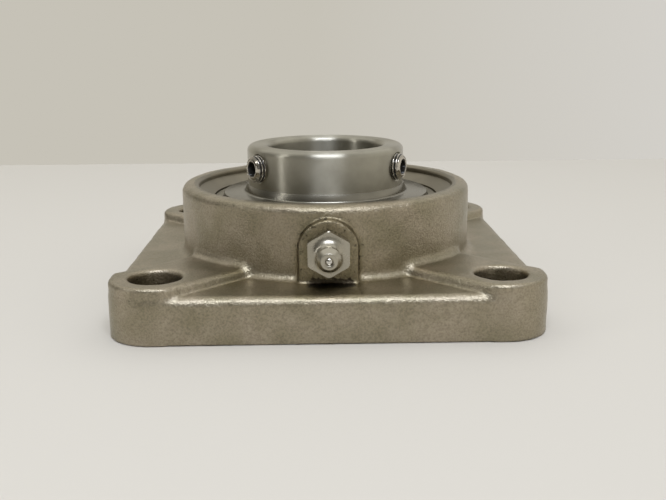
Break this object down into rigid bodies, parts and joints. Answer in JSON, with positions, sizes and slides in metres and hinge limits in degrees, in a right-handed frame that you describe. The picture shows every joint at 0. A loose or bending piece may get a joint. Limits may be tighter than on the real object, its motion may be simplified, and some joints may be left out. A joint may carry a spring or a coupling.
{
  "type": "flange mount bearing",
  "caption": "Square flange bearing unit: cast housing with raised round boss, self-aligning ball bearing with set-screw collar, and grease fitting.",
  "frame": {"origin": "centre of the mounting face, on the shaft axis", "axes": "+Z along the shaft axis, out of the collar; -Y towards the grease fitting; flange sides along X and Y"},
  "size_m": [0.1164, 0.1164, 0.0448],
  "materials": {
    "cast_stainless": "satin as-cast stainless steel, fine grained and slightly mottled",
    "ground_steel": "fine ground and turned bearing steel",
    "polished_steel": "polished",
    "pressed_steel": "cold-rolled sheet",
    "spring_steel": "drawn",
    "screw_steel": "bright machined",
    "plated_steel": "bright plated",
    "seal_rubber": "matt moulded"
  },
  "bodies": {
    "housing": {"flange_housing": "cast_stainless", "grease_fitting_body": "plated_steel", "grease_fitting_spring": "spring_steel"},
    "valve_ball": {"grease_fitting_check_ball": "polished_steel"},
    "locking_pin": {"locking_pin": "spring_steel"},
    "outer_ring": {"outer_ring": "ground_steel", "front_seal_core": "pressed_steel", "rear_seal_core": "pressed_steel", "front_seal_lip": "seal_rubber", "rear_seal_lip": "seal_rubber"},
    "inner_ring": {"inner_ring": "ground_steel", "front_slinger": "polished_steel", "rear_slinger": "polished_steel"},
    "set_screw_left": {"set_screw_left": "screw_steel"},
    "set_screw_right": {"set_screw_right": "screw_steel"},
    "cage": {"cage_front_half": "pressed_steel", "cage_rear_half": "pressed_steel", "cage_rivets": "pressed_steel"},
    "ball_1": {"ball_1": "polished_steel"},
    "ball_2": {"ball_2": "polished_steel"},
    "ball_3": {"ball_3": "polished_steel"},
    "ball_4": {"ball_4": "polished_steel"},
    "ball_5": {"ball_5": "polished_steel"},
    "ball_6": {"ball_6": "polished_steel"},
    "ball_7": {"ball_7": "polished_steel"},
    "ball_8": {"ball_8": "polished_steel"},
    "ball_9": {"ball_9": "polished_steel"}
  },
  "joints": [
    {"name": "swivel_about_y", "type": "hinge", "parent": "housing", "child": "locking_pin", "pos_m": [0, 0, 0.019], "axis": [0, 1, 0], "range_deg": [-2, 2]},
    {"name": "swivel_about_x", "type": "hinge", "parent": "locking_pin", "child": "outer_ring", "pos_m": [0, 0, 0.019], "axis": [1, 0, 0], "range_deg": [-2, 2]},
    {"name": "shaft_spin", "type": "hinge", "parent": "outer_ring", "child": "inner_ring", "pos_m": [0, 0, 0.019], "axis": [0, 0, 1], "continuous": true},
    {"name": "cage_spin", "type": "hinge", "parent": "outer_ring", "child": "cage", "pos_m": [0, 0, 0.019], "axis": [0, 0, 1], "continuous": true},
    {"name": "ball_1_roll", "type": "hinge", "parent": "cage", "child": "ball_1", "pos_m": [0, -0.02675, 0.019], "axis": [0, 0, 1], "continuous": true},
    {"name": "ball_2_roll", "type": "hinge", "parent": "cage", "child": "ball_2", "pos_m": [0.01719, -0.02049, 0.019], "axis": [0, 0, 1], "continuous": true},
    {"name": "ball_3_roll", "type": "hinge", "parent": "cage", "child": "ball_3", "pos_m": [0.02634, -0.00465, 0.019], "axis": [0, 0, 1], "continuous": true},
    {"name": "ball_4_roll", "type": "hinge", "parent": "cage", "child": "ball_4", "pos_m": [0.02317, 0.01337, 0.019], "axis": [0, 0, 1], "continuous": true},
    {"name": "ball_5_roll", "type": "hinge", "parent": "cage", "child": "ball_5", "pos_m": [0.00915, 0.02514, 0.019], "axis": [0, 0, 1], "continuous": true},
    {"name": "ball_6_roll", "type": "hinge", "parent": "cage", "child": "ball_6", "pos_m": [-0.00915, 0.02514, 0.019], "axis": [0, 0, 1], "continuous": true},
    {"name": "ball_7_roll", "type": "hinge", "parent": "cage", "child": "ball_7", "pos_m": [-0.02317, 0.01337, 0.019], "axis": [0, 0, 1], "continuous": true},
    {"name": "ball_8_roll", "type": "hinge", "parent": "cage", "child": "ball_8", "pos_m": [-0.02634, -0.00465, 0.019], "axis": [0, 0, 1], "continuous": true},
    {"name": "ball_9_roll", "type": "hinge", "parent": "cage", "child": "ball_9", "pos_m": [-0.01719, -0.02049, 0.019], "axis": [0, 0, 1], "continuous": true},
    {"name": "set_screw_left_travel", "type": "slide", "parent": "inner_ring", "child": "set_screw_left", "axis": [-0.8387, -0.5446, 0], "range_m": [-0.0012, 0.0031]},
    {"name": "set_screw_right_travel", "type": "slide", "parent": "inner_ring", "child": "set_screw_right", "axis": [0.891, -0.454, 0], "range_m": [-0.0008, 0.0035]},
    {"name": "valve_ball_travel", "type": "slide", "parent": "housing", "child": "valve_ball", "axis": [0, 1, 0], "range_m": [0, 0.001], "stiffness_N_per_m": 150, "springref_m": -0.002, "deforming": ["grease_fitting_spring"]}
  ],
  "couplings": [
    {"joint": "cage_spin", "follows": "shaft_spin", "ratio": 0.39615},
    {"joint": "ball_1_roll", "follows": "shaft_spin", "ratio": -2.3035},
    {"joint": "ball_2_roll", "follows": "shaft_spin", "ratio": -2.3035},
    {"joint": "ball_3_roll", "follows": "shaft_spin", "ratio": -2.3035},
    {"joint": "ball_4_roll", "follows": "shaft_spin", "ratio": -2.3035},
    {"joint": "ball_5_roll", "follows": "shaft_spin", "ratio": -2.3035},
    {"joint": "ball_6_roll", "follows": "shaft_spin", "ratio": -2.3035},
    {"joint": "ball_7_roll", "follows": "shaft_spin", "ratio": -2.3035},
    {"joint": "ball_8_roll", "follows": "shaft_spin", "ratio": -2.3035},
    {"joint": "ball_9_roll", "follows": "shaft_spin", "ratio": -2.3035}
  ]
}
